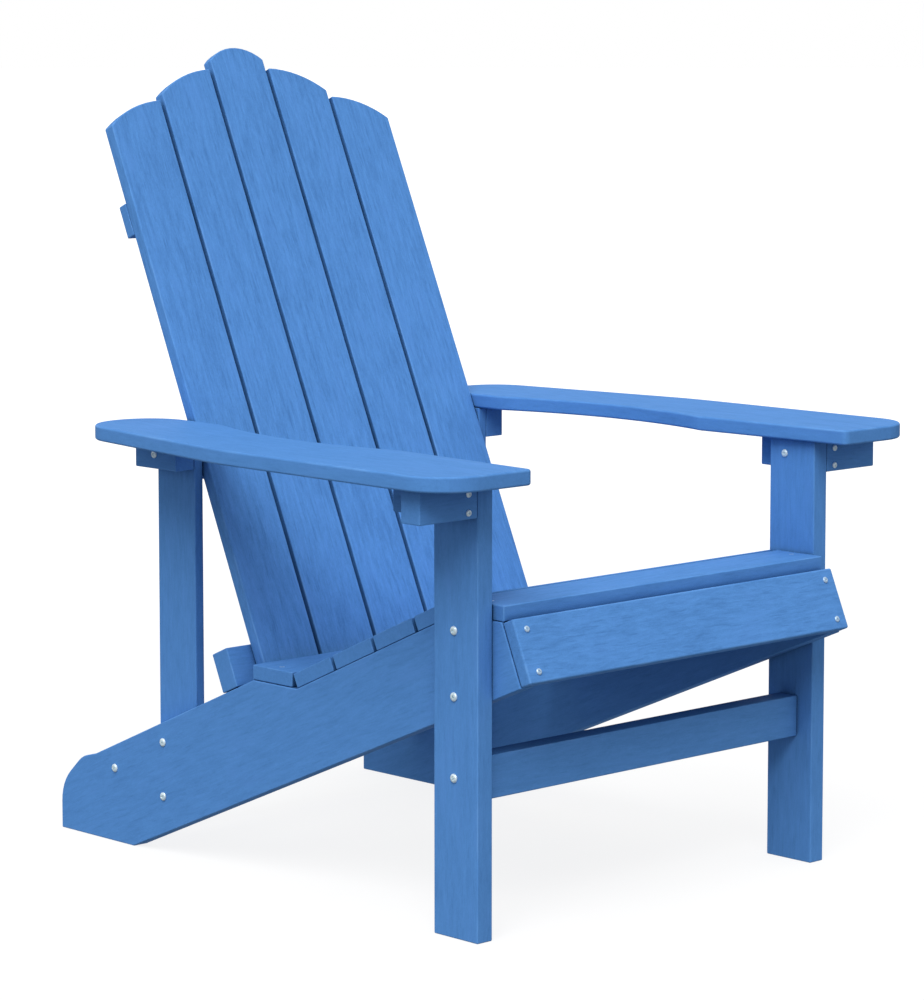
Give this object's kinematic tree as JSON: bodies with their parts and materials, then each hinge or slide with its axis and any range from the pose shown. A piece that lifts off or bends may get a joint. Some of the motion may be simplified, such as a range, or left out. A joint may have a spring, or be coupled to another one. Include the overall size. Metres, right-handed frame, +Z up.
{
  "type": "adirondack chair",
  "caption": "Blue plank adirondack chair with a raked slatted back, sloping slatted seat, broad flat arms and visible steel screws.",
  "frame": {"origin": "on the ground, at the middle of the chair's footprint", "axes": "+Z up, -Y the way that the chair faces, +X the right-hand arm as seen from the front"},
  "size_m": [0.799, 0.8448, 0.9845],
  "materials": {
    "plank_blue": "embossed woodgrain, satin",
    "screw_steel": "bright"
  },
  "bodies": {
    "root": {"apron_screw_lower_left": "screw_steel", "apron_screw_lower_right": "screw_steel", "apron_screw_upper_left": "screw_steel", "apron_screw_upper_right": "screw_steel", "arm_left": "plank_blue", "arm_right": "plank_blue", "back_slat_1": "plank_blue", "back_slat_2": "plank_blue", "back_slat_3": "plank_blue", "back_slat_4": "plank_blue", "back_slat_5": "plank_blue", "front_apron": "plank_blue", "front_arm_block_left": "plank_blue", "front_arm_block_right": "plank_blue", "front_arm_bracket_left": "plank_blue", "front_arm_bracket_right": "plank_blue", "front_block_screw_lower_left": "screw_steel", "front_block_screw_lower_right": "screw_steel", "front_block_screw_upper_left": "screw_steel", "front_block_screw_upper_right": "screw_steel", "front_bracket_screw_left": "screw_steel", "front_bracket_screw_right": "screw_steel", "front_leg_left": "plank_blue", "front_leg_right": "plank_blue", "front_stretcher": "plank_blue", "front_stretcher_screw_left": "screw_steel", "front_stretcher_screw_right": "screw_steel", "leg_screw_lower_left": "screw_steel", "leg_screw_lower_right": "screw_steel", "leg_screw_upper_left": "screw_steel", "leg_screw_upper_right": "screw_steel", "lower_back_rail": "plank_blue", "middle_back_rail": "plank_blue", "post_screw_lower_left": "screw_steel", "post_screw_lower_right": "screw_steel", "post_screw_upper_left": "screw_steel", "post_screw_upper_right": "screw_steel", "rear_arm_bracket_left": "plank_blue", "rear_arm_bracket_right": "plank_blue", "rear_bracket_screw_left": "screw_steel", "rear_bracket_screw_right": "screw_steel", "rear_post_left": "plank_blue", "rear_post_right": "plank_blue", "rear_stretcher": "plank_blue", "rear_stretcher_screw_left": "screw_steel", "rear_stretcher_screw_right": "screw_steel", "seat_slat_1": "plank_blue", "seat_slat_2": "plank_blue", "seat_slat_3": "plank_blue", "seat_slat_4": "plank_blue", "seat_slat_5": "plank_blue", "seat_slat_6": "plank_blue", "stringer_left": "plank_blue", "stringer_right": "plank_blue", "upper_back_rail": "plank_blue"}
  },
  "joints": []
}
